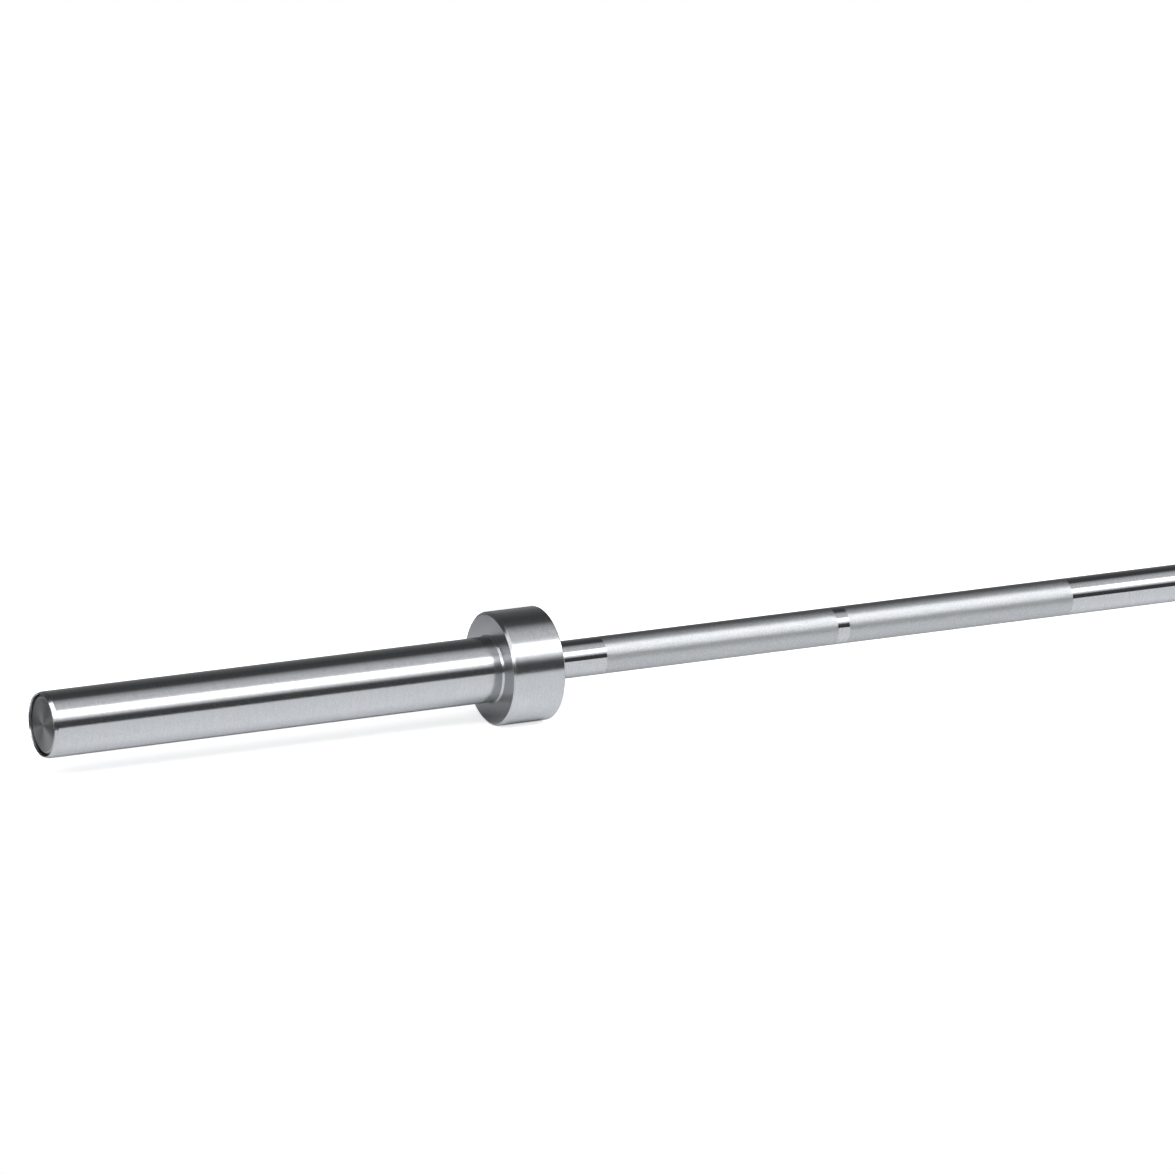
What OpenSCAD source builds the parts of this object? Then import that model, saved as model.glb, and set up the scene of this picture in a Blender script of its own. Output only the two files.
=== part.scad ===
// Olympic barbell: a steel shaft with a sleeve that spins on needle bearings at each end.
// The bar lies along X, with its middle at the origin and Z up.
// One side is drawn outwards from the middle, on +X, and mirrored for the left side.
// A profile's points are [radius, distance from the bar's middle].

/* [Bar] */
// Length over both sleeves' ends
bar_length = 2136; // [1900:1:2300]
// Distance between the inner faces of the two collars
grip_span = 1310; // [1200:1:1400]
// Diameter of the smooth shaft
shaft_d = 29; // [27:0.1:32]
// Smooth band between a collar and the knurling
plain_end = 50; // [30:1:80]
// Knurled band between the smooth band and the ring mark
outer_knurl = 200; // [150:1:230]
// Width of the smooth ring mark
ring_mark = 10; // [5:1:16]
// Knurled band between the ring mark and the smooth middle
inner_knurl = 198; // [120:1:220]
// How much the knurling's root is smaller than the shaft, on the diameter
knurl_sink = 0.2; // [0.1:0.05:0.5]

/* [Collars] */
// Collar diameter
collar_d = 87; // [80:0.5:100]
// Collar width
collar_w = 43; // [35:0.5:60]
// Bevel on the collar's plate side
collar_bevel = 2; // [1:0.5:4]
// Bevel on the collar's grip side
collar_back_bevel = 1; // [0.5:0.5:3]
// How far the sleeve is turned down under the collar, on the radius
collar_step = 2; // [1:0.25:3]
// How deep the sleeve's shoulder sits in the collar
shoulder_sink = 1.5; // [0.5:0.1:4]
// Flare of that shoulder, on the radius and along the bar
flare = 1.2; // [0.5:0.1:2]

/* [Sleeves] */
// Sleeve diameter
sleeve_d = 50; // [46:0.1:54]
// Bevel at the sleeve's end, on the radius
end_bevel = 1; // [0.4:0.1:1.4]
// Length of that bevel along the sleeve
end_bevel_len = 3.2; // [1:0.1:4]
// Rim between the end bevel and the cap's recess
rim = 1; // [1:0.1:1.6]
// Bevel on the rim's inner edge
rim_break = 0.5; // [0.2:0.1:0.8]
// Small bevel on a turned steel edge inside
edge_break = 0.4; // [0.2:0.1:0.8]

/* [End caps] */
// Depth of the recess that holds the cap
cap_recess = 6; // [4.6:0.1:8]
// How far the cap's face lies inside the sleeve's end
cap_inset = 1.3; // [0:0.1:2]
// Bevel round the cap's face
cap_bevel = 1.2; // [0.5:0.1:1.8]
// Thickness of the flange at the cap's back
cap_flange = 1.6; // [1:0.1:2]
// Radius of the lathe centre's mark in the cap's face
cap_pip_r = 1.3; // [0.8:0.1:3]
// Section of the O-ring round the cap
o_ring = 1.8; // [1.2:0.1:2.2]

/* [Bearings] */
// Step from the shaft down to the bearing journal, on the radius
journal_step = 0.5; // [0.3:0.05:1]
// Needle diameter
needle_d = 2.5; // [2:0.1:3.2]
// Needles in a bearing
needle_count = 20; // [12:1:22]
// Bearing width
bearing_w = 20; // [14:0.5:28]
// Wall of the drawn cup
cup_wall = 0.94; // [0.8:0.02:1.4]
// Wall of the cage
cage_wall = 1.3; // [1:0.1:1.6]
// Solid ring at each end of the cage
cage_rim = 1.2; // [0.8:0.1:2]
// Gap between the two bearings of a pair
pair_gap = 0.4; // [0.2:0.1:2]
// Bearing seat left free beyond the outer pair, towards the sleeve's end
seat_spare = 1.3; // [0.5:0.1:4]
// Step from a bearing seat down to the bore between the seats, on the radius
relief_step = 0.5; // [0.3:0.1:1]

/* [Seals and retainers] */
// How far the dust seal sits inside the collar's inner face
seal_inset = 1; // [0.5:0.1:3]
// Width of the dust seal
seal_w = 4; // [3:0.5:8]
// Free room on each side of the shaft's shoulder
shoulder_gap = 1; // [0.5:0.1:3]
// Thickness of a thrust washer
washer_w = 2; // [1:0.1:3]
// Thickness of a circlip
clip_w = 1.5; // [1:0.1:2]
// Depth of the circlip's groove in the shaft
shaft_groove = 0.7; // [0.5:0.1:1]
// Width of the shaft circlip's ring beyond its groove's bottom
shaft_clip_ring = 3.2; // [2.9:0.1:3.6]
// Depth of the circlip's groove in the sleeve
sleeve_groove = 1; // [0.6:0.1:1.5]
// Width of the sleeve circlip's ring inside its groove's bottom
sleeve_clip_ring = 3.8; // [3:0.1:4.2]
// Opening between a circlip's two ends
clip_opening = 5; // [4:0.1:7]
// Step from the bearing seat up to the washers' chamber, on the radius
chamber_step = 1.5; // [1.4:0.1:2.5]
// Free length between the sleeve's circlip and the cap
end_room = 13.6; // [8:0.1:30]

/* [Fits] */
// Clearance of a needle from its journal and from its cup
needle_fit = 0.03; // [0.01:0.01:0.06]
// Clearance of a needle in its pocket
pocket_fit = 0.05; // [0.02:0.01:0.1]
// Clearance of the cage between the cup's lips
cage_fit = 0.25; // [0.1:0.05:0.5]
// Clearance of the cup's lips round the journal
lip_fit = 0.4; // [0.2:0.05:0.6]
// Clearance of a thrust washer's bore and of the seal's lip
running_fit = 0.05; // [0.02:0.01:0.1]
// Clearance of a thrust washer in its chamber
washer_fit = 0.25; // [0.1:0.05:0.5]
// Clearance of each washer and circlip along the bar
side_fit = 0.05; // [0.02:0.01:0.2]
// Play of the sleeve along the shaft
end_play = 0.25; // [0.1:0.05:0.5]
// Clearance of the cap's flange and of the O-ring in the recess
cap_fit = 0.02; // [0.01:0.01:0.1]

/* [Hidden] */
$fn = 96;
sides = ["left", "right"];
one_a_side = [
    "sleeve_tube", "collar", "dust_seal", "thrust_washer_inner", "shaft_circlip",
    "thrust_washer_outer", "sleeve_circlip", "end_cap", "end_cap_o_ring",
];
bearing_pieces = ["bearing_cup", "bearing_cage", "bearing_needles"];
bearing_total = 4;

// radii
shaft_r = shaft_d / 2;
knurl_r = shaft_r - knurl_sink / 2;
journal_r = shaft_r - journal_step;
pitch_r = journal_r + needle_fit + needle_d / 2;
race_r = journal_r + needle_d + 2 * needle_fit;
seat_r = race_r + cup_wall;
relief_r = seat_r - relief_step;
chamber_r = seat_r + chamber_step;
sleeve_r = sleeve_d / 2;
collar_r = collar_d / 2;
collar_seat_r = sleeve_r - collar_step;
flare_r = sleeve_r + flare;
recess_r = sleeve_r - end_bevel - rim;
cap_r = recess_r - o_ring;
shaft_groove_r = journal_r - shaft_groove;
sleeve_groove_r = chamber_r + sleeve_groove;

// places along the bar, from the collar's inner face outwards
collar_in = grip_span / 2;
collar_out = collar_in + collar_w;
sleeve_shoulder_at = collar_out - shoulder_sink;
seal_at = collar_in + seal_inset;
shoulder_at = seal_at + seal_w + shoulder_gap;
bearing_1_at = shoulder_at + shoulder_gap;
bearing_2_at = bearing_1_at + bearing_w + pair_gap;
inner_seat_end = bearing_2_at + bearing_w + edge_break;

// places along the bar, from its end inwards
bar_end = bar_length / 2;
recess_at = bar_end - cap_recess;
sleeve_clip_at = recess_at - end_room - clip_w;
outer_washer_at = sleeve_clip_at - end_play - washer_w;
shaft_clip_at = outer_washer_at - side_fit - clip_w;
inner_washer_at = shaft_clip_at - side_fit - washer_w;
chamber_at = inner_washer_at - side_fit;
shaft_end = sleeve_clip_at - side_fit;
bearing_4_at = chamber_at - seat_spare - bearing_w;
bearing_3_at = bearing_4_at - pair_gap - bearing_w;
outer_seat_at = bearing_3_at - edge_break;
bearing_at = [bearing_1_at, bearing_2_at, bearing_3_at, bearing_4_at];

// places of the grip's bands
knurl_out = collar_in - plain_end;
mark_out = knurl_out - outer_knurl;
mark_in = mark_out - ring_mark;
knurl_in = mark_in - inner_knurl;

// the lugs that pliers grip on a circlip
clip_lug_r = 2;
clip_hole_r = 0.9;
clip_lug_trim = 0.2;

module on_side(side) {
    if (side == "left") mirror([1, 0, 0]) children();
    else children();
}

module turned(points) rotate([0, 90, 0]) rotate_extrude() polygon(points);

// a ring with its four edges broken
module washer(inner_r, outer_r, from, width, bevel) turned([
    [inner_r + bevel, from], [outer_r - bevel, from],
    [outer_r, from + bevel], [outer_r, from + width - bevel],
    [outer_r - bevel, from + width], [inner_r + bevel, from + width],
    [inner_r, from + width - bevel], [inner_r, from + bevel],
]);

// a flat ring with an opening at the top and a lug with a hole at each of its ends
module circlip(inner_r, outer_r, lug_at_r, from) {
    lug_side = clip_opening / 2 + clip_lug_r - clip_lug_trim;
    lug_turn = asin(lug_side / lug_at_r);
    translate([from, 0, 0]) rotate([0, 90, 0]) difference() {
        union() {
            difference() {
                cylinder(h = clip_w, r = outer_r);
                translate([0, 0, -clip_w]) cylinder(h = 3 * clip_w, r = inner_r);
            }
            for (turn = [-lug_turn, lug_turn]) rotate([0, 0, 180 + turn])
                translate([lug_at_r, 0, 0]) cylinder(h = clip_w, r = clip_lug_r);
        }
        for (turn = [-lug_turn, lug_turn]) rotate([0, 0, 180 + turn])
            translate([lug_at_r, 0, -clip_w]) cylinder(h = 3 * clip_w, r = clip_hole_r);
        translate([-outer_r - clip_lug_r, -clip_opening / 2, -clip_w])
            cube([outer_r + clip_lug_r, clip_opening, 3 * clip_w]);
    }
}

function mirrored(points) = [
    for (i = [len(points) - 1 : -1 : 0]) [points[i][0], -points[i][1]]
];

module shaft() {
    half = [
        [shaft_r, knurl_in], [knurl_r, knurl_in], [knurl_r, mark_in], [shaft_r, mark_in],
        [shaft_r, mark_out], [knurl_r, mark_out], [knurl_r, knurl_out], [shaft_r, knurl_out],
        [shaft_r, shoulder_at - journal_step], [journal_r, shoulder_at],
        [journal_r, shaft_clip_at - side_fit], [shaft_groove_r, shaft_clip_at - side_fit],
        [shaft_groove_r, shaft_clip_at + clip_w + side_fit],
        [journal_r, shaft_clip_at + clip_w + side_fit],
        [journal_r, shaft_end - edge_break], [journal_r - edge_break, shaft_end],
        [0, shaft_end],
    ];
    color("silver") turned(concat(half, mirrored(half)));
}

module sleeve_tube() color("gainsboro") turned([
    [collar_seat_r - edge_break, collar_in], [collar_seat_r, collar_in + edge_break],
    [collar_seat_r, sleeve_shoulder_at], [flare_r, sleeve_shoulder_at],
    [flare_r, collar_out], [sleeve_r, collar_out + flare],
    [sleeve_r, bar_end - end_bevel_len], [sleeve_r - end_bevel, bar_end],
    [recess_r + rim_break, bar_end], [recess_r, bar_end - rim_break],
    [recess_r, recess_at], [chamber_r, recess_at],
    [chamber_r, sleeve_clip_at + clip_w + side_fit],
    [sleeve_groove_r, sleeve_clip_at + clip_w + side_fit],
    [sleeve_groove_r, sleeve_clip_at - side_fit], [chamber_r, sleeve_clip_at - side_fit],
    [chamber_r, chamber_at], [seat_r, chamber_at],
    [seat_r, outer_seat_at], [relief_r, outer_seat_at],
    [relief_r, inner_seat_end], [seat_r, inner_seat_end],
    [seat_r, collar_in + edge_break], [seat_r + edge_break, collar_in],
]);

module collar() color("lightgray") turned([
    [collar_seat_r, collar_in], [collar_r - collar_back_bevel, collar_in],
    [collar_r, collar_in + collar_back_bevel], [collar_r, collar_out - collar_bevel],
    [collar_r - collar_bevel, collar_out], [flare_r, collar_out],
    [flare_r, sleeve_shoulder_at], [collar_seat_r, sleeve_shoulder_at],
]);

// a rubber ring whose middle narrows to a lip on the shaft
module dust_seal() {
    lip_r = shaft_r + running_fit;
    lip_w = seal_w / 5;
    middle = seal_at + seal_w / 2;
    color("#202020") turned([
        [seat_r, seal_at], [seat_r, seal_at + seal_w],
        [(seat_r + lip_r) / 2, seal_at + seal_w], [lip_r, middle + lip_w / 2],
        [lip_r, middle - lip_w / 2], [(seat_r + lip_r) / 2, seal_at],
    ]);
}

// a drawn cup with both lips turned in
module bearing_cup(from) {
    lip_r = journal_r + lip_fit;
    to = from + bearing_w;
    color("darkgray") turned([
        [seat_r - edge_break, from], [seat_r, from + edge_break],
        [seat_r, to - edge_break], [seat_r - edge_break, to],
        [lip_r, to], [lip_r, to - cup_wall], [race_r, to - cup_wall],
        [race_r, from + cup_wall], [lip_r, from + cup_wall], [lip_r, from],
    ]);
}

cage_len = bearing_w - 2 * cup_wall - 2 * cage_fit;
pocket_len = cage_len - 2 * cage_rim;
needle_len = pocket_len - 2 * pocket_fit;

module round_the_bearing(middle) {
    for (i = [0 : needle_count - 1]) rotate([360 * i / needle_count, 0, 0])
        translate([middle, 0, pitch_r]) rotate([0, 90, 0]) children();
}

module bearing_cage(from) {
    middle = from + bearing_w / 2;
    color("slategray") difference() {
        turned([
            [pitch_r - cage_wall / 2, middle - cage_len / 2],
            [pitch_r + cage_wall / 2, middle - cage_len / 2],
            [pitch_r + cage_wall / 2, middle + cage_len / 2],
            [pitch_r - cage_wall / 2, middle + cage_len / 2],
        ]);
        round_the_bearing(middle)
            cylinder(h = pocket_len, r = needle_d / 2 + pocket_fit, center = true);
    }
}

module bearing_needles(from) {
    color("whitesmoke") round_the_bearing(from + bearing_w / 2)
        cylinder(h = needle_len, r = needle_d / 2, center = true);
}

module thrust_washer(from) color("peru")
    washer(journal_r + running_fit, chamber_r - washer_fit, from, washer_w, edge_break);

module shaft_circlip() color("dimgray") circlip(
    shaft_groove_r, shaft_groove_r + shaft_clip_ring,
    shaft_groove_r + shaft_clip_ring - clip_hole_r, shaft_clip_at
);

module sleeve_circlip() color("dimgray") circlip(
    sleeve_groove_r - sleeve_clip_ring, sleeve_groove_r,
    sleeve_groove_r - sleeve_clip_ring + clip_hole_r, sleeve_clip_at
);

module end_cap() {
    face = bar_end - cap_inset;
    flange_front = recess_at + cap_flange;
    color("lightsteelblue") turned([
        [0, recess_at], [recess_r - cap_fit, recess_at], [recess_r - cap_fit, flange_front],
        [cap_r, flange_front], [cap_r, face - cap_bevel], [cap_r - cap_bevel, face],
        [cap_pip_r, face], [0, face - cap_pip_r / 2],
    ]);
}

module end_cap_o_ring() color("#101010")
    translate([recess_at + cap_flange + o_ring / 2, 0, 0]) rotate([0, 90, 0])
        rotate_extrude() translate([cap_r + o_ring / 2, 0]) circle(r = o_ring / 2 - cap_fit);

shaft();
for (side = sides) on_side(side) {
    sleeve_tube();
    collar();
    dust_seal();
    thrust_washer(inner_washer_at);
    shaft_circlip();
    thrust_washer(outer_washer_at);
    sleeve_circlip();
    end_cap();
    end_cap_o_ring();
    for (n = [1 : bearing_total]) {
        bearing_cup(bearing_at[n - 1]);
        bearing_cage(bearing_at[n - 1]);
        bearing_needles(bearing_at[n - 1]);
    }
}
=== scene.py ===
import math

import bpy
import numpy as np
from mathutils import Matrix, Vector


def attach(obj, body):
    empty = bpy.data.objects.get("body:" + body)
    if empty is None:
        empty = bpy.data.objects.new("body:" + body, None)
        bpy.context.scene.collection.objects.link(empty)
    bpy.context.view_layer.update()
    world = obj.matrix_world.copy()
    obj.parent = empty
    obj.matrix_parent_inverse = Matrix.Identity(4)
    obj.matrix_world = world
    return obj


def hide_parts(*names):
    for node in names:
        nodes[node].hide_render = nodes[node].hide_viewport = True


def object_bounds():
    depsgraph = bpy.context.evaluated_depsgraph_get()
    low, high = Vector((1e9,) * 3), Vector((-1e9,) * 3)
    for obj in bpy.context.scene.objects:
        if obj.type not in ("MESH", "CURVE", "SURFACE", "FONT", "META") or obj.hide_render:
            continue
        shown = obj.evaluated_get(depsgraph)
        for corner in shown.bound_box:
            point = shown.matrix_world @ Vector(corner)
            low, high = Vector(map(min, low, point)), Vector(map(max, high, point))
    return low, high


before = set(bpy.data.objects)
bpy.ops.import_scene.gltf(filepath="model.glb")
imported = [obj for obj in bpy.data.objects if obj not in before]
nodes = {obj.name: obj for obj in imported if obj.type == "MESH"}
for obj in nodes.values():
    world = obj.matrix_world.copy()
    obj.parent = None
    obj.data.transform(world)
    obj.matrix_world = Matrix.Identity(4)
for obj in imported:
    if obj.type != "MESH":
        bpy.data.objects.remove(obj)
cadLow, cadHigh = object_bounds()
print("packed model loaded:", len(nodes), "nodes")


# Camera
view = {
    "lens": 290.7,  # millimetres
    "sensor": 36.0,
    "aim": (-0.6145, 0.0, 0.0542),
    "azimuth": -27.13,
    "elevation": 13.78,
    "distance": 7.201,
    "clip": (0.1, 200.0),
}


def standCamera():
    a, e = math.radians(view["azimuth"]), math.radians(view["elevation"])
    back = Vector((math.sin(a) * math.cos(e), -math.cos(a) * math.cos(e), math.sin(e)))
    data = bpy.data.cameras.new("camera")
    data.lens = view["lens"]
    data.sensor_width = view["sensor"]
    data.clip_start, data.clip_end = view["clip"]
    camera = bpy.data.objects.new("camera", data)
    camera.location = Vector(view["aim"]) + back * view["distance"]
    camera.rotation_euler = (-back).to_track_quat("-Z", "Y").to_euler()
    bpy.context.scene.collection.objects.link(camera)
    bpy.context.scene.camera = camera


standCamera()
print("camera set")


# Helpers for materials
def startMaterial(name):
    mat = bpy.data.materials.new(name)
    mat.use_nodes = True
    tree = mat.node_tree
    return mat, tree, tree.nodes["Principled BSDF"]


def addNode(tree, kind, inputs=(), **settings):
    node = tree.nodes.new(kind)
    for key, value in settings.items():
        setattr(node, key, value)
    for key, value in dict(inputs).items():
        if isinstance(value, bpy.types.NodeSocket):
            tree.links.new(value, node.inputs[key])
        else:
            node.inputs[key].default_value = value
    return node


def mathNode(tree, a, b, operation="ADD"):
    return addNode(tree, "ShaderNodeMath", {0: a, 1: b}, operation=operation).outputs[0]


def ownPlace(tree):
    return addNode(tree, "ShaderNodeTexCoord").outputs["Object"]


def grain(tree, stretch, detail=2.0):
    # noise on the piece's own coordinates, stretched by (x, y, z): long in the small directions
    spread = addNode(tree, "ShaderNodeMapping", {"Vector": ownPlace(tree), "Scale": stretch})
    return addNode(
        tree,
        "ShaderNodeTexNoise",
        {"Vector": spread.outputs[0], "Scale": 1.0, "Detail": detail, "Roughness": 0.6},
    ).outputs["Fac"]


noiseRange = (0.3, 0.7)  # most of a noise's values lie in it
pairRange = (0.42, 0.58)  # narrower, for more contrast in the mean of two noises


def between(tree, value, low, high, reach=noiseRange):
    # low where the value is at the start of its reach, high at the end, straight between them
    return addNode(
        tree,
        "ShaderNodeMapRange",
        {"Value": value, "From Min": reach[0], "From Max": reach[1], "To Min": low, "To Max": high},
    ).outputs["Result"]


def past(tree, value, edge, soft):
    # 0 below the edge and 1 above it, fading over a soft band on both sides
    return between(tree, value, 0.0, 1.0, (edge - soft, edge + soft))


def window(tree, value, low, high, soft):
    # 1 where the value lies between low and high, fading to 0 over a soft edge on both sides
    fall = between(tree, value, 1.0, 0.0, (high - soft, high + soft))
    return mathNode(tree, past(tree, value, low, soft), fall, "MULTIPLY")


def mixColours(tree, share, first, second):
    return addNode(tree, "ShaderNodeMix", {0: share, 6: first, 7: second}, data_type="RGBA").outputs[2]


def tint(tree, value, dark, light, reach=noiseRange):
    ramp = addNode(tree, "ShaderNodeValToRGB", {"Fac": value})
    for element, place, colour in zip(ramp.color_ramp.elements, reach, (dark, light)):
        element.position = place
        element.color = (*colour, 1)
    return ramp.outputs["Color"]


def bump(tree, height, distance, under=None):
    inputs = {"Height": height, "Strength": 1.0, "Distance": distance}
    if under:
        inputs["Normal"] = under
    return addNode(tree, "ShaderNodeBump", inputs).outputs["Normal"]


# Finishes
finishSeam = 0.0001  # metres on each side over which one finish gives way to the next
sleeveFinish = {
    "dark": (0.54, 0.555, 0.57),
    "light": (0.68, 0.695, 0.71),
    "roughness": (0.14, 0.18),
    "anisotropy": 0.4,
    "lines": (9000.0, 70.0, 70.0),  # ground lines run round the tube
    "lineHeight": 0.0000006,
    "peel": 1200.0,  # slight unevenness of the plating, ripples a metre
    "peelHeight": 0.000006,
}
collarFinish = dict(
    sleeveFinish,
    roughness=(0.16, 0.21),
    lines=(7000.0, 90.0, 90.0),
    face=(0.40, 0.41, 0.42),  # the plate side is only faced on a lathe, so it is rougher; its darker colour is painted shade, standing in for the darker reflection the face shows
    faceRoughness=0.30,
    faceFrom=0.6978,  # metres from the bar's middle
)
shaftFinish = dict(
    sleeveFinish,
    roughness=(0.07, 0.10),
    anisotropy=0.3,
    lines=(6000.0, 60.0, 60.0),
    lineHeight=0.0000004,
    peelHeight=0.000003,
)
knurlFinish = dict(
    sleeveFinish,
    dark=(0.45, 0.465, 0.475),
    light=(0.59, 0.605, 0.615),
    roughness=(0.28, 0.36),
    anisotropy=0.0,
    lines=(2500.0, 2500.0, 2500.0),
    lineHeight=0.000001,
)


def groundChrome(name, finish):
    # hard chrome over a ground surface: fine lines run round the axis, so gloss stretches along it
    mat, tree, bsdf = startMaterial(name)
    lines = grain(tree, finish["lines"])
    peel = grain(tree, (finish["peel"],) * 3, 1.0)
    mixed = mathNode(tree, mathNode(tree, lines, peel), 0.5, "MULTIPLY")
    axis = addNode(tree, "ShaderNodeCombineXYZ", {"X": 1.0}).outputs[0]
    bsdf.inputs["Metallic"].default_value = 1.0
    bsdf.inputs["Anisotropic"].default_value = finish["anisotropy"]
    tree.links.new(axis, bsdf.inputs["Tangent"])
    colour = tint(tree, mixed, finish["dark"], finish["light"], pairRange)
    gloss = between(tree, lines, *finish["roughness"])
    if "face" in finish:
        along = addNode(tree, "ShaderNodeSeparateXYZ", {0: ownPlace(tree)}).outputs["X"]
        fromMiddle = mathNode(tree, along, 0.0, "ABSOLUTE")
        face = past(tree, fromMiddle, finish["faceFrom"], finishSeam)
        # painted shade: the face's colour is set darker to stand in for the darker reflection it shows;
        # its higher roughness is the real faced finish
        colour = mixColours(tree, face, colour, (*finish["face"], 1))
        gloss = addNode(tree, "ShaderNodeMix", {0: face, 2: gloss, 3: finish["faceRoughness"]}).outputs[0]
    tree.links.new(colour, bsdf.inputs["Base Color"])
    tree.links.new(gloss, bsdf.inputs["Roughness"])
    fine = bump(tree, lines, finish["lineHeight"])
    tree.links.new(bump(tree, peel, finish["peelHeight"], fine), bsdf.inputs["Normal"])
    return mat


capFinish = {
    # the face's colour is painted shade: set far below the chrome round it so the face reads as dark as
    # its dark reflection; the rings and fanned gloss are the real turned finish
    "dark": (0.20, 0.205, 0.21),
    "light": (0.33, 0.335, 0.34),
    "edge": (0.84, 0.85, 0.86),  # the bevel round the face: a pale colour that paints in a bright ring, a painted highlight
    "edgeFrom": 0.0199,  # metres from the axis
    "faceRoughness": 0.35,
    "edgeRoughness": 0.55,
    "anisotropy": 0.95,
    "rings": 9000.0,  # turned rings a metre of radius
    "ringHeight": 0.000001,
}


def turnedChrome(name, finish):
    # faced on a lathe: rings about the X axis, so gloss fans out along the radius
    mat, tree, bsdf = startMaterial(name)
    across = {"Vector": ownPlace(tree), "Scale": (0.0, 1.0, 1.0)}
    flat = addNode(tree, "ShaderNodeMapping", across).outputs[0]
    radius = addNode(tree, "ShaderNodeVectorMath", {0: flat}, operation="LENGTH").outputs["Value"]
    rings = addNode(
        tree,
        "ShaderNodeTexNoise",
        {"W": mathNode(tree, radius, finish["rings"], "MULTIPLY"), "Scale": 1.0, "Detail": 2.0},
        noise_dimensions="1D",
    ).outputs["Fac"]
    outward = addNode(
        tree,
        "ShaderNodeVectorTransform",
        {"Vector": flat},
        vector_type="VECTOR",
        convert_from="OBJECT",
        convert_to="WORLD",
    ).outputs[0]
    # painted highlight: past this radius the bevel's pale colour paints a bright ring round the face; its
    # higher roughness is real
    edge = past(tree, radius, finish["edgeFrom"], finishSeam)
    # painted shade: the face's low colour stands in for its dark reflection
    face = tint(tree, rings, finish["dark"], finish["light"])
    colour = mixColours(tree, edge, face, (*finish["edge"], 1))
    gloss = between(tree, edge, finish["faceRoughness"], finish["edgeRoughness"], (0.0, 1.0))
    bsdf.inputs["Metallic"].default_value = 1.0
    bsdf.inputs["Anisotropic"].default_value = finish["anisotropy"]
    tree.links.new(outward, bsdf.inputs["Tangent"])
    tree.links.new(colour, bsdf.inputs["Base Color"])
    tree.links.new(gloss, bsdf.inputs["Roughness"])
    tree.links.new(bump(tree, rings, finish["ringHeight"]), bsdf.inputs["Normal"])
    return mat


plainFinishes = {
    "bearing_steel": {
        "name": "bearingSteel",
        "dark": (0.48, 0.49, 0.50),
        "light": (0.60, 0.61, 0.62),
        "roughness": (0.10, 0.18),
        "stretch": (1200, 80, 80),
        "height": 0.0000005,
    },
    "cage_steel": {
        "name": "pressedCageSteel",
        "dark": (0.32, 0.32, 0.31),
        "light": (0.48, 0.47, 0.45),
        "roughness": (0.30, 0.45),
        "stretch": (400, 400, 400),
        "height": 0.000002,
    },
    "spring_steel": {
        "name": "phosphatedSpringSteel",
        "dark": (0.07, 0.07, 0.075),
        "light": (0.16, 0.16, 0.165),
        "roughness": (0.40, 0.60),
        "stretch": (900, 900, 900),
        "height": 0.000003,
    },
    "washer_bronze": {
        "name": "thrustBronze",
        "dark": (0.46, 0.27, 0.12),
        "light": (0.68, 0.44, 0.22),
        "roughness": (0.22, 0.36),
        "stretch": (200, 1500, 1500),
        "height": 0.0000015,
    },
    "seal_rubber": {
        "name": "sealRubber",
        "dark": (0.012, 0.012, 0.013),
        "light": (0.035, 0.035, 0.037),
        "roughness": (0.45, 0.65),
        "stretch": (700, 700, 700),
        "height": 0.000004,
        "metallic": 0.0,
    },
    "o_ring_rubber": {
        "name": "ringRubber",
        "dark": (0.008, 0.008, 0.009),
        "light": (0.022, 0.022, 0.024),
        "roughness": (0.35, 0.5),
        "stretch": (900, 900, 900),
        "height": 0.0000025,
        "metallic": 0.0,
    },
}


def markedFinish(finish):
    # one noise gives the colour, the gloss and the fine relief
    mat, tree, bsdf = startMaterial(finish["name"])
    marks = grain(tree, finish["stretch"], 4.0)
    bsdf.inputs["Metallic"].default_value = finish.get("metallic", 1.0)
    tree.links.new(tint(tree, marks, finish["dark"], finish["light"]), bsdf.inputs["Base Color"])
    tree.links.new(between(tree, marks, *finish["roughness"]), bsdf.inputs["Roughness"])
    tree.links.new(bump(tree, marks, finish["height"]), bsdf.inputs["Normal"])
    return mat


finishes = {
    "shaft_chrome": groundChrome("polishedShaftChrome", shaftFinish),
    "sleeve_chrome": groundChrome("groundSleeveChrome", sleeveFinish),
    "collar_chrome": groundChrome("polishedCollarChrome", collarFinish),
    "cap_chrome": turnedChrome("turnedCapChrome", capFinish),
}
for slotName, finish in plainFinishes.items():
    finishes[slotName] = markedFinish(finish)
for name, piece in nodes.items():
    slotName = piece.data.materials[0].name.split(".")[0]
    piece.data.materials[0] = finishes[slotName]
knurlChrome = groundChrome("knurledChrome", knurlFinish)
print("finishes made:", len(finishes) + 1)


# Knurling
knurl = {
    "root": 0.01442,  # radius at the bottom of the grooves
    "depth": 0.00005,
    "inner": 0.0142,  # wall hidden in the shaft
    "starts": 66,  # grooves of each hand round the bar
    "helix": 30.0,  # degrees from the axis
    "flat": 0.55,  # share of a diamond's width that is left flat
    "bands": {"inner": (0.197, 0.395), "outer": (0.405, 0.605)},  # either side of the ring mark
}


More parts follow.
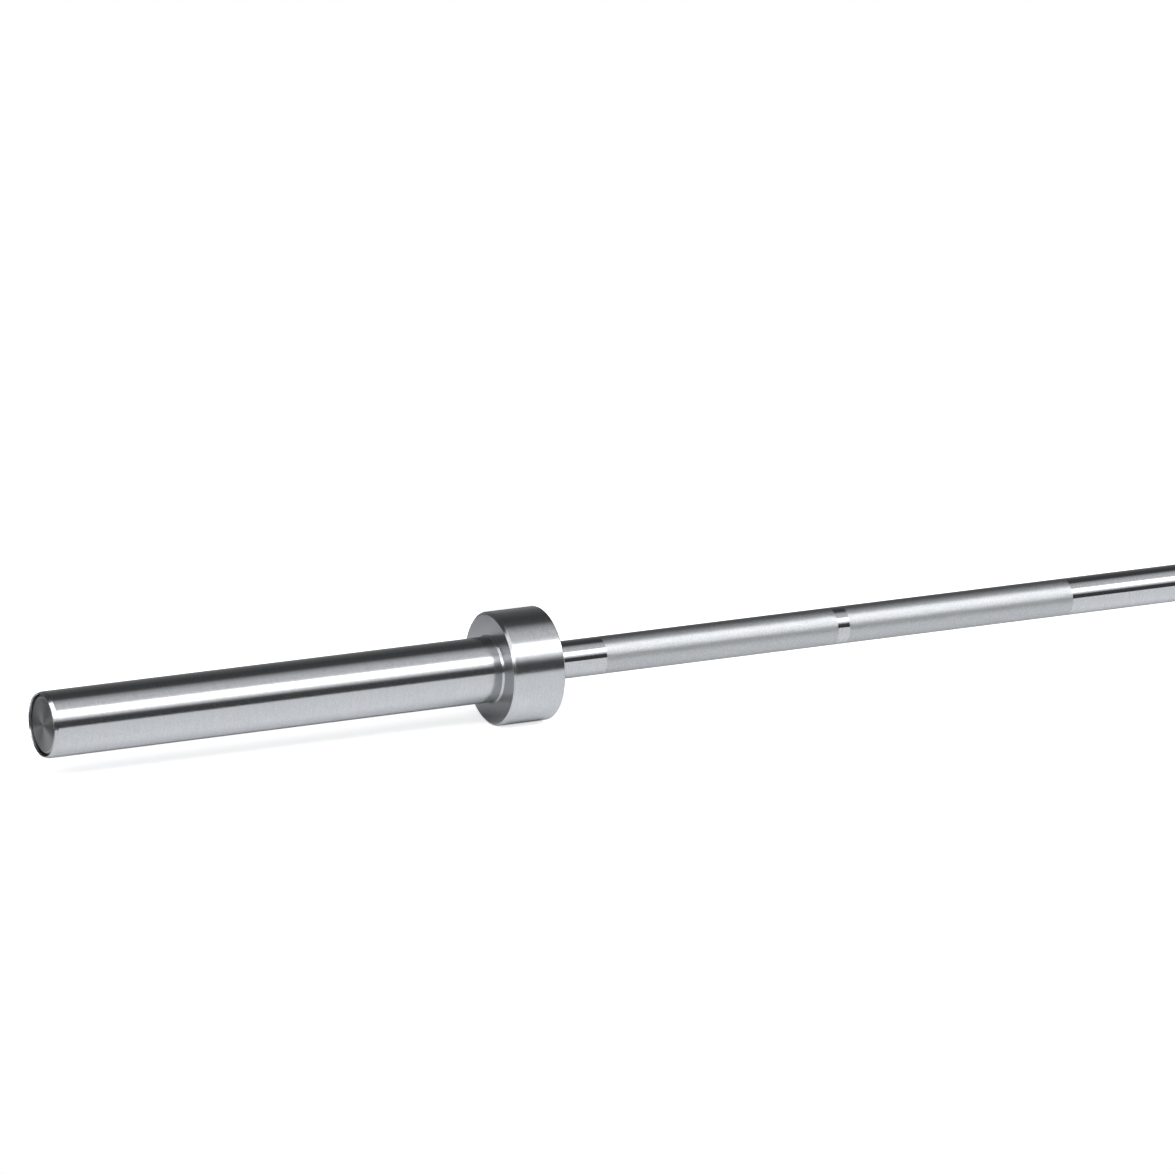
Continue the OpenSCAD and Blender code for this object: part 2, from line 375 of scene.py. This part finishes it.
def cutKnurl(name, start, end):
    # two families of helical grooves: low corners where they cross, a small flat diamond between them.
    # A grid point (k, m) stands at angle k * pi / starts and x = start + m * step; it is a crossing
    # where k + m is even, and the middle of a diamond where k + m is odd.
    starts = knurl["starts"]
    around = 2 * starts
    pitch = 2 * math.pi * knurl["root"] / starts / math.tan(math.radians(knurl["helix"]))
    rows = 2 * max(2, round((end - start) / pitch))
    step = (end - start) / rows
    k, m = np.meshgrid(np.arange(around), np.arange(rows + 1))
    odd = (k + m) % 2 == 1
    inside = (m > 0) & (m < rows)
    turn = math.pi / starts
    low = np.stack([start + m * step, k * turn, np.full(k.shape, knurl["root"])], -1).reshape(-1, 3)
    number = np.arange(low.shape[0]).reshape(k.shape)
    # four tips round the middle of each whole diamond
    mk, mm = k[odd & inside], m[odd & inside]
    f = knurl["flat"]
    top = np.full(mk.shape, knurl["root"] + knurl["depth"])
    ways = ((1, 0), (0, 1), (-1, 0), (0, -1))
    tips = np.stack(
        [np.stack([start + (mm + f * dx) * step, (mk + f * dk) * turn, top], -1) for dx, dk in ways], 1
    )
    tipNumber = low.shape[0] + np.arange(tips.shape[0] * 4).reshape(-1, 4)
    corner = np.stack([number[mm + dx, (mk + dk) % around] for dx, dk in ways], 1)
    faces = [tipNumber]
    for i in range(4):
        j = (i + 1) % 4
        faces.append(np.stack([corner[:, i], corner[:, j], tipNumber[:, j], tipNumber[:, i]], 1))
    # half diamonds at both ends lie flat on the root
    ks = np.arange(around)
    triangles = []
    for edge, beside in ((0, 1), (rows, rows - 1)):
        mid = ks[(ks + edge) % 2 == 1]
        before, after = number[edge, (mid - 1) % around], number[edge, (mid + 1) % around]
        half = [number[edge, mid], number[beside, mid], before]
        other = [after, number[beside, mid], number[edge, mid]]
        if edge:
            half, other = half[::-1], other[::-1]
        triangles += [np.stack(half, 1), np.stack(other, 1)]
    # wall hidden in the shaft, and a ring at each end
    wallStart = low.shape[0] + tips.shape[0] * 4 + ks
    wallEnd = wallStart + around
    following = np.roll(ks, -1)
    inner = np.full(around, knurl["inner"])
    wall = [np.stack([np.full(around, x), ks * turn, inner], -1) for x in (start, end)]
    faces.append(np.stack([wallEnd, wallEnd[following], wallStart[following], wallStart], 1))
    faces.append(np.stack([number[0, ks], number[0, following], wallStart[following], wallStart], 1))
    faces.append(np.stack([number[rows, following], number[rows, ks], wallEnd, wallEnd[following]], 1))
    x, angle, r = np.concatenate([low, tips.reshape(-1, 3), *wall]).T
    points = np.stack([x, r * np.cos(angle), r * np.sin(angle)], -1)
    mesh = bpy.data.meshes.new(name)
    faces = np.concatenate(faces).tolist() + np.concatenate(triangles).tolist()
    mesh.from_pydata(points.tolist(), [], faces)
    mesh.materials.append(knurlChrome)
    piece = bpy.data.objects.new(name, mesh)
    bpy.context.scene.collection.objects.link(piece)
    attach(piece, "shaft")
    print("knurl cut:", name, len(mesh.polygons), "faces")


for title, (start, end) in knurl["bands"].items():
    cutKnurl("knurl_" + title + "_left", -end, -start)
    cutKnurl("knurl_" + title + "_right", start, end)


# Turned pieces
arcPoints = 5  # points on each rounded corner


def roundOutline(corners):
    # each corner (place, radius, rounding) of an outline becomes an arc that touches both its edges;
    # its outward direction turns evenly from one edge's to the next one's. The outline runs clockwise
    # with place to the right and radius up, and first and last corner lie on the axis or join up.
    c = np.array(corners, float)
    p, rounding = c[:, :2], c[:, 2]
    before, after = np.roll(p, 1, 0) - p, np.roll(p, -1, 0) - p
    la, lb = np.linalg.norm(before, axis=1), np.linalg.norm(after, axis=1)
    a, b = before / la[:, None], after / lb[:, None]
    na, nb = np.stack([a[:, 1], -a[:, 0]], 1), np.stack([-b[:, 1], b[:, 0]], 1)
    way = np.arctan2(na[:, 1], na[:, 0])
    turn = (np.arctan2(nb[:, 1], nb[:, 0]) - way + np.pi) % (2 * np.pi) - np.pi
    slope = np.tan(np.abs(turn) / 2)
    mostOfEdge = 0.45  # the longest share of an edge that one arc may take
    reach = np.minimum(rounding * slope, mostOfEdge * np.minimum(la, lb))
    size = -np.sign(turn) * reach / slope  # positive on outer corners, which turn clockwise
    centre = p + a * reach[:, None] - size[:, None] * na
    angle = way[:, None] + turn[:, None] * np.linspace(0, 1, arcPoints)
    out = np.stack([np.cos(angle), np.sin(angle)], -1)
    points = centre[:, None] + size[:, None, None] * out
    return points.reshape(-1, 2), out.reshape(-1, 2)


def turnPiece(title, hand, side, make):
    # the outline (place, radius) carried round the X axis:
    # x = side * place, y = radius * cos(t), z = radius * sin(t)
    points, outward = roundOutline(make["corners"])
    points = points / 1000
    closed, around, slotName = not make.get("solid"), make["around"], make["slot"]
    if not closed:  # its first and last corner lie on the axis, where one point each is enough
        points, outward = points[arcPoints:-arcPoints], outward[arcPoints:-arcPoints]
    t = np.arange(around) * 2 * np.pi / around
    count = len(points)

    def spin(flat):
        across = np.repeat(side * flat[:, :1], around, 1)
        return np.stack([across, flat[:, 1:] * np.cos(t), flat[:, 1:] * np.sin(t)], -1).reshape(-1, 3)

    ring, lean = spin(points), spin(outward)
    i, j = np.meshgrid(np.arange(count if closed else count - 1), np.arange(around), indexing="ij")
    row, nextRow = i * around, (i + 1) % count * around
    j2 = (j + 1) % around
    faces = np.stack([row + j, row + j2, nextRow + j2, nextRow + j], -1).reshape(-1, 4)
    faces = (faces if side > 0 else faces[:, ::-1]).tolist()
    if not closed:  # the two ends close on the axis
        j = np.arange(around)
        j2 = (j + 1) % around
        lastRow = (count - 1) * around
        start = np.stack([np.full(around, len(ring)), j2, j], 1)
        end = np.stack([np.full(around, len(ring) + 1), lastRow + j, lastRow + j2], 1)
        discs = np.concatenate([start, end])
        faces += (discs if side > 0 else discs[:, ::-1]).tolist()
        ring = np.concatenate([ring, [[side * points[0, 0], 0, 0], [side * points[-1, 0], 0, 0]]])
        lean = np.concatenate([lean, [[-side, 0, 0], [side, 0, 0]]])
    name = "turned_" + title + "_" + hand
    mesh = bpy.data.meshes.new(name)
    mesh.from_pydata(ring.tolist(), [], faces)
    mesh.polygons.foreach_set("use_smooth", np.ones(len(mesh.polygons), bool))
    mesh.normals_split_custom_set_from_vertices(lean.tolist())
    mesh.materials.append(finishes[slotName])
    piece = bpy.data.objects.new(name, mesh)
    bpy.context.scene.collection.objects.link(piece)
    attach(piece, "sleeve_" + hand)
    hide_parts(title + "_" + hand)
    print("turned:", name, len(mesh.polygons), "faces")


# the CAD's sizes, in millimetres; places are measured from the bar's middle
barEnd = 1068.0
recessAt = barEnd - 6.0  # bottom of the recess that holds the cap
recessRadius = 23.0
seatRadius = 23.0  # of the sleeve under the collar
collar = {"from": 655.0, "width": 43.0, "radius": 43.5, "bevel": 2.0, "backBevel": 1.0}
collarTo = collar["from"] + collar["width"]
shoulderAt = collarTo - 1.5  # the sleeve's shoulder sits this deep in the collar
flareRadius = 26.2

sleeve = {
    "radius": 25.0,
    "bevel": (3.2, 1.0),  # along the bar, on the radius
    "rimBreak": 0.5,
    "edgeBreak": 0.4,
    "chamber": (1041.0, 19.0),  # from, radius
    "groove": (1046.85, 1048.45, 20.0),  # from, to, radius
    "relief": (702.8, 998.9, 17.0),  # the bore between the bearing seats: from, to, radius
    "bearingSeat": 17.5,
}
tiny = 0.1  # rounding of an edge that is only deburred


def sleeveCorners():
    # from the collar's inner face along the outside to the rim, and back through the bore
    r, seat, edge = sleeve["radius"], sleeve["bearingSeat"], sleeve["edgeBreak"]
    bevelLength, bevelDepth = sleeve["bevel"]
    chamberFrom, chamber = sleeve["chamber"]
    grooveFrom, grooveTo, groove = sleeve["groove"]
    reliefFrom, reliefTo, relief = sleeve["relief"]
    return [
        (collar["from"], seatRadius - edge, tiny),
        (collar["from"] + edge, seatRadius, tiny),
        (shoulderAt, seatRadius, tiny),
        (shoulderAt, flareRadius, tiny),
        (collarTo, flareRadius, 0.3),
        (collarTo + flareRadius - r, r, 0.5),
        (barEnd - bevelLength, r, 1.5),
        (barEnd, r - bevelDepth, 0.2),
        (barEnd, recessRadius + sleeve["rimBreak"], tiny),
        (barEnd - sleeve["rimBreak"], recessRadius, tiny),
        (recessAt, recessRadius, tiny),
        (recessAt, chamber, tiny),
        (grooveTo, chamber, tiny),
        (grooveTo, groove, tiny),
        (grooveFrom, groove, tiny),
        (grooveFrom, chamber, tiny),
        (chamberFrom, chamber, tiny),
        (chamberFrom, seat, tiny),
        (reliefTo, seat, tiny),
        (reliefTo, relief, tiny),
        (reliefFrom, relief, tiny),
        (reliefFrom, seat, tiny),
        (collar["from"] + edge, seat, tiny),
        (collar["from"], seat + edge, tiny),
    ]


def collarCorners():
    start, r, bevel, back = collar["from"], collar["radius"], collar["bevel"], collar["backBevel"]
    return [
        (start, seatRadius, tiny),
        (start, r - back, 0.3),
        (start + back, r, 0.4),
        (collarTo - bevel, r, 0.5),
        (collarTo, r - bevel, 0.5),
        (collarTo, flareRadius, 0.15),
        (shoulderAt, flareRadius, tiny),
        (shoulderAt, seatRadius, tiny),
    ]


cap = {"radius": 21.2, "bevel": 1.2, "inset": 1.3, "flange": 1.6, "fit": 0.02, "centreMark": 1.3}


def capCorners():
    # from its back's middle round the flange to the lathe centre's mark in its face
    r, flangeRadius, flangeAt = cap["radius"], recessRadius - cap["fit"], recessAt + cap["flange"]
    face, mark = barEnd - cap["inset"], cap["centreMark"]
    onAxis = 0.01
    return [
        (recessAt, 0, onAxis),
        (recessAt, flangeRadius, 0.2),
        (flangeAt, flangeRadius, 0.2),
        (flangeAt, r, tiny),
        (face - cap["bevel"], r, 0.4),
        (face, r - cap["bevel"], 0.5),
        (face, mark, tiny),
        (face - mark / 2, 0, onAxis),
    ]


turned = {
    "sleeve_tube": {"corners": sleeveCorners(), "around": 144, "slot": "sleeve_chrome"},
    "collar": {"corners": collarCorners(), "around": 192, "slot": "collar_chrome"},
    "end_cap": {"corners": capCorners(), "around": 128, "slot": "cap_chrome", "solid": True},
}
for side, hand in ((-1, "left"), (1, "right")):
    for title, make in turned.items():
        turnPiece(title, hand, side, make)


# Studio
studio = {
    "tableHalf": 1.14,  # along the bar
    "tableFront": -1.0,
    "tableBack": 0.32,
    "tableColour": (0.94, 0.95, 0.955),
    "tableLift": 0.7,  # white added where the camera looks at the table
    # light from each direction round the bar: degrees up from the front, level
    "walls": [
        (-180, 0.10),
        (0, 0.05),
        (19, 0.06),
        (26, 0.65),
        (34, 1.4),
        (40, 3.7),
        (54, 3.7),
        (59, 0.95),
        (66, 0.70),
        (80, 0.62),
        (92, 0.42),
        (104, 0.07),
        (125, 0.06),
        (150, 0.12),
        (180, 0.27),
    ],
    # lamps that fill a window of directions: the direction's x, its degrees round the bar, level
    "lamps": {
        "raised": ((-0.34, -0.01), (57, 92), 2.4),
        "left": ((-1.1, -0.64), (30, 102), 1.2),
        "right": ((0.64, 1.1), (30, 102), 1.2),
    },
    "lampEdges": (0.03, 3.0),  # how softly they end: across, degrees
    "cool": (1.0, 1.0, 1.02),
    # the black card: seen from a point on the collar, its direction across and round the bar
    "flag": {
        "from": (-0.70, 0.0, 0.044),
        "across": -0.443,
        "degrees": (18, 66),
        "distance": 4.0,
        "half": 0.36,
    },
}


def levelRamp(tree, value, stops):
    # the stops' levels along the value, straight between one stop and the next
    first, last = stops[0][0], stops[-1][0]
    brightest = max(level for place, level in stops)
    ramp = addNode(tree, "ShaderNodeValToRGB", {"Fac": between(tree, value, 0.0, 1.0, (first, last))})
    elements = ramp.color_ramp.elements
    while len(elements) < len(stops):
        elements.new(0.5)
    for element, (place, level) in zip(elements, stops):
        element.position = (place - first) / (last - first)
        element.color = (level / brightest,) * 3 + (1,)
    return mathNode(tree, ramp.outputs["Color"], brightest, "MULTIPLY")


def lightWalls():
    world = bpy.data.worlds.new("studio")
    bpy.context.scene.world = world
    world.use_nodes = True
    tree = world.node_tree
    way = addNode(tree, "ShaderNodeTexCoord").outputs["Generated"]
    x, y, z = addNode(tree, "ShaderNodeSeparateXYZ", {0: way}).outputs
    angle = mathNode(tree, z, mathNode(tree, y, -1.0, "MULTIPLY"), "ARCTAN2")
    degrees = mathNode(tree, angle, 180 / math.pi, "MULTIPLY")
    light = levelRamp(tree, degrees, studio["walls"])
    acrossEdge, roundEdge = studio["lampEdges"]
    for across, around, level in studio["lamps"].values():
        reached = window(tree, x, *across, acrossEdge), window(tree, degrees, *around, roundEdge)
        lamp = mathNode(tree, *reached, "MULTIPLY")
        light = mathNode(tree, light, mathNode(tree, lamp, level, "MULTIPLY"), "MAXIMUM")
    tinted = {0: studio["cool"], "Scale": light}
    cool = addNode(tree, "ShaderNodeVectorMath", tinted, operation="SCALE").outputs[0]
    seen = addNode(tree, "ShaderNodeLightPath").outputs["Is Camera Ray"]
    colour = mixColours(tree, seen, cool, (1, 1, 1, 1))
    tree.links.new(colour, tree.nodes["Background"].inputs["Color"])


def addStage(name, corners, mat):
    mesh = bpy.data.meshes.new(name)
    mesh.from_pydata(corners, [], [(0, 1, 2, 3)])
    mesh.materials.append(mat)
    piece = bpy.data.objects.new(name, mesh)
    bpy.context.scene.collection.objects.link(piece)
    return piece


def layTable():
    # one plain pale table; past its edges the camera sees white and the metal sees the dark studio
    mat, tree, bsdf = startMaterial("paleTable")
    bsdf.inputs["Base Color"].default_value = (*studio["tableColour"], 1)
    bsdf.inputs["Roughness"].default_value = 0.9
    bsdf.inputs["Specular IOR Level"].default_value = 0.0
    bsdf.inputs["Emission Color"].default_value = (1, 1, 1, 1)
    seen = addNode(tree, "ShaderNodeLightPath").outputs["Is Camera Ray"]
    tree.links.new(mathNode(tree, seen, studio["tableLift"], "MULTIPLY"), bsdf.inputs["Emission Strength"])
    half, front, back = studio["tableHalf"], studio["tableFront"], studio["tableBack"]
    z = cadLow.z
    addStage("table", [(-half, front, z), (half, front, z), (half, back, z), (-half, back, z)], mat)


def hangFlag():
    # a black card that the collar's face sees where the strip lamp would be
    flag = studio["flag"]
    mat, tree, bsdf = startMaterial("blackCard")
    bsdf.inputs["Base Color"].default_value = (0.02, 0.02, 0.02, 1)
    bsdf.inputs["Specular IOR Level"].default_value = 0.0
    side = math.sqrt(1 - flag["across"] ** 2)
    corners = []
    for degrees, ends in zip(flag["degrees"], ((-1, 1), (1, -1))):
        a = math.radians(degrees)
        way = Vector((flag["across"], -side * math.cos(a), side * math.sin(a)))
        middle = Vector(flag["from"]) + way * flag["distance"]
        corners += [middle + Vector((end * flag["half"], 0, 0)) for end in ends]
    card = addStage("flag", corners, mat)
    card.visible_camera = False


lightWalls()
layTable()
hangFlag()
bpy.context.scene.view_settings.view_transform = "Standard"
print("studio lit")
